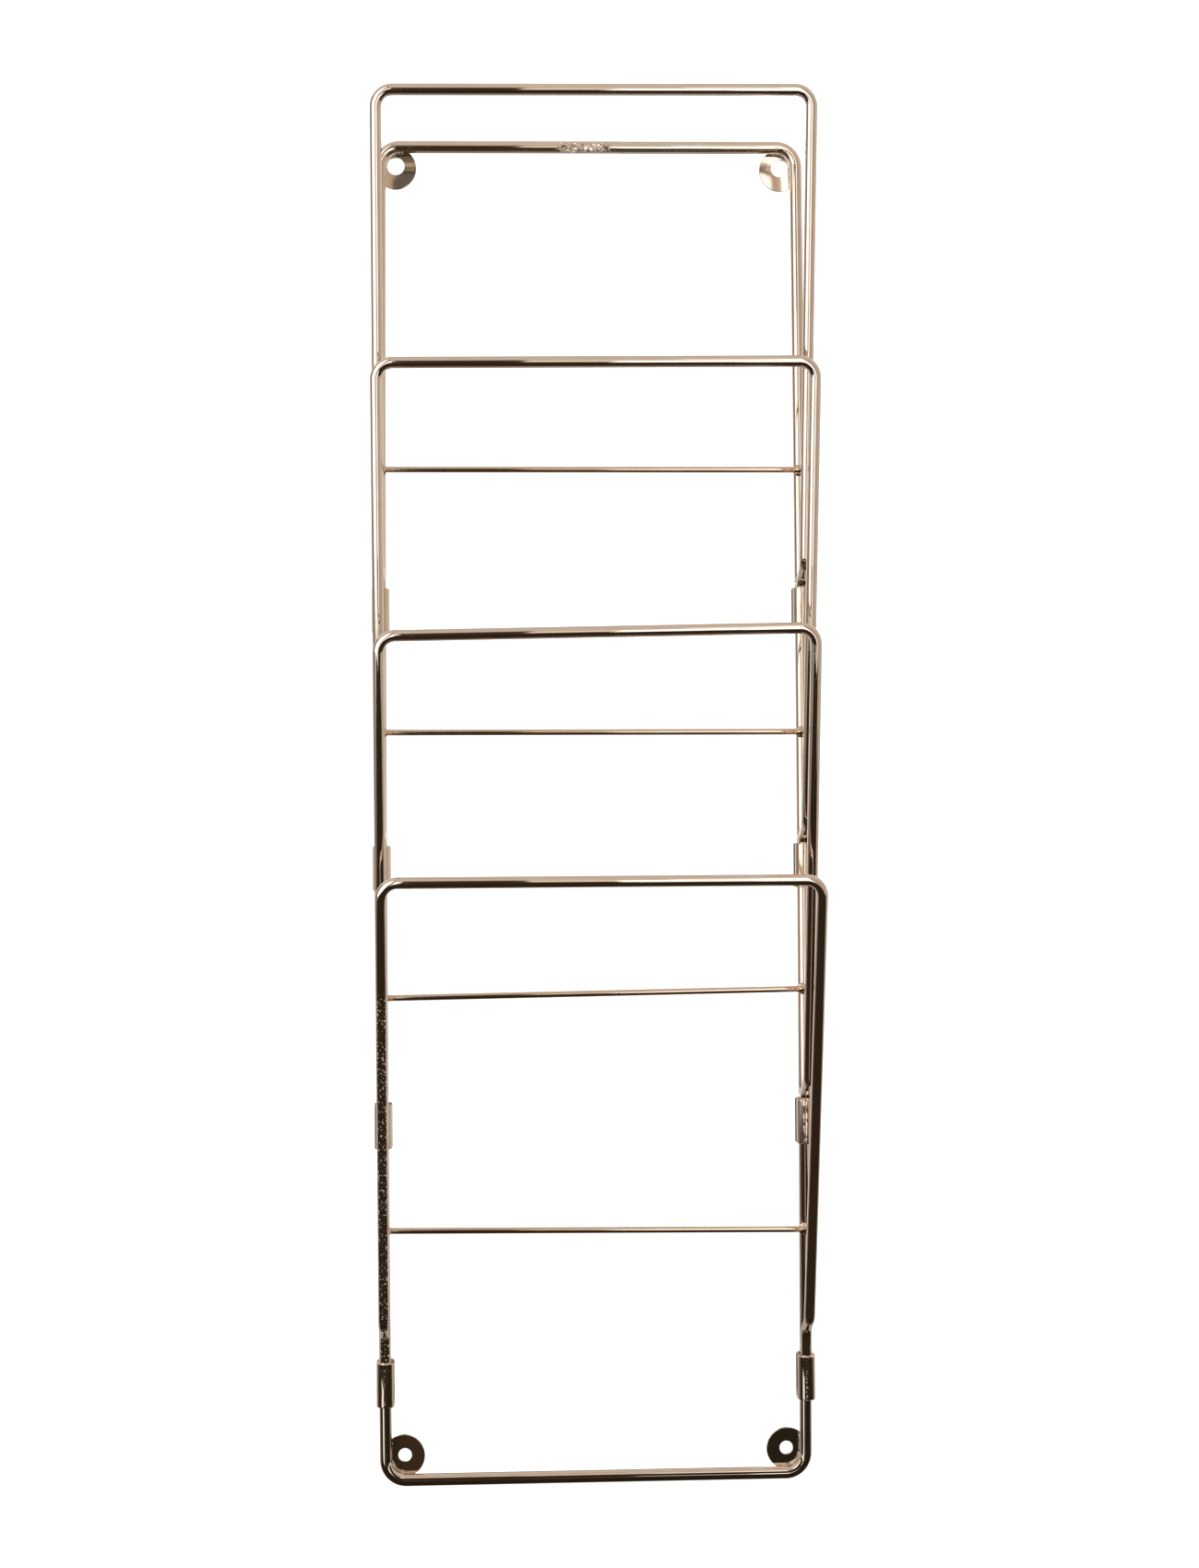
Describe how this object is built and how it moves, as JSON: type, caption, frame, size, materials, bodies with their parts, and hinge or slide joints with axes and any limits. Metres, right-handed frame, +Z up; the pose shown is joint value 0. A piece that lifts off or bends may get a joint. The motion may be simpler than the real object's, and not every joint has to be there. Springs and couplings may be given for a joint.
{
  "type": "newspaper rack",
  "caption": "Wall-hung newspaper rack in gold-plated round wire: a back frame with cross rods, round fixing tabs and leaning front hoops that plug into sleeves.",
  "frame": {"origin": "the middle of the four screw holes, on the wall plane, which is the tabs' back face", "axes": "+X to the right seen from the front, +Y into the wall (the front faces -Y), +Z up"},
  "size_m": [0.2564, 0.0885, 0.7955],
  "materials": {
    "frame_wire_gold": "polished",
    "hoop_wire_gold": "polished",
    "rod_wire_gold": "gloss",
    "sleeve_gold": "gloss",
    "tab_plate_gold": "polished"
  },
  "bodies": {
    "rack": {"back_frame": "frame_wire_gold", "fixing_tab_top_left": "tab_plate_gold", "fixing_tab_top_right": "tab_plate_gold", "fixing_tab_bottom_left": "tab_plate_gold", "fixing_tab_bottom_right": "tab_plate_gold", "cross_rod_1": "rod_wire_gold", "cross_rod_2": "rod_wire_gold", "cross_rod_3": "rod_wire_gold", "cross_rod_4": "rod_wire_gold", "sleeve_1_left": "sleeve_gold", "sleeve_1_right": "sleeve_gold", "sleeve_2_left": "sleeve_gold", "sleeve_2_right": "sleeve_gold", "sleeve_3_left": "sleeve_gold", "sleeve_3_right": "sleeve_gold", "sleeve_4_left": "sleeve_gold", "sleeve_4_right": "sleeve_gold"},
    "hoop_1": {"front_hoop_1": "hoop_wire_gold"},
    "hoop_2": {"front_hoop_2": "hoop_wire_gold"},
    "hoop_3": {"front_hoop_3": "hoop_wire_gold"},
    "hoop_4": {"front_hoop_4": "hoop_wire_gold"}
  },
  "joints": [
    {"name": "hoop_1_lift", "type": "slide", "parent": "rack", "child": "hoop_1", "axis": [0, 0, 1], "range_m": [0, 0.024]},
    {"name": "hoop_2_lift", "type": "slide", "parent": "rack", "child": "hoop_2", "axis": [0, 0, 1], "range_m": [0, 0.024]},
    {"name": "hoop_3_lift", "type": "slide", "parent": "rack", "child": "hoop_3", "axis": [0, 0, 1], "range_m": [0, 0.024]},
    {"name": "hoop_4_lift", "type": "slide", "parent": "rack", "child": "hoop_4", "axis": [0, 0, 1], "range_m": [-0.0117, 0.0123]}
  ]
}
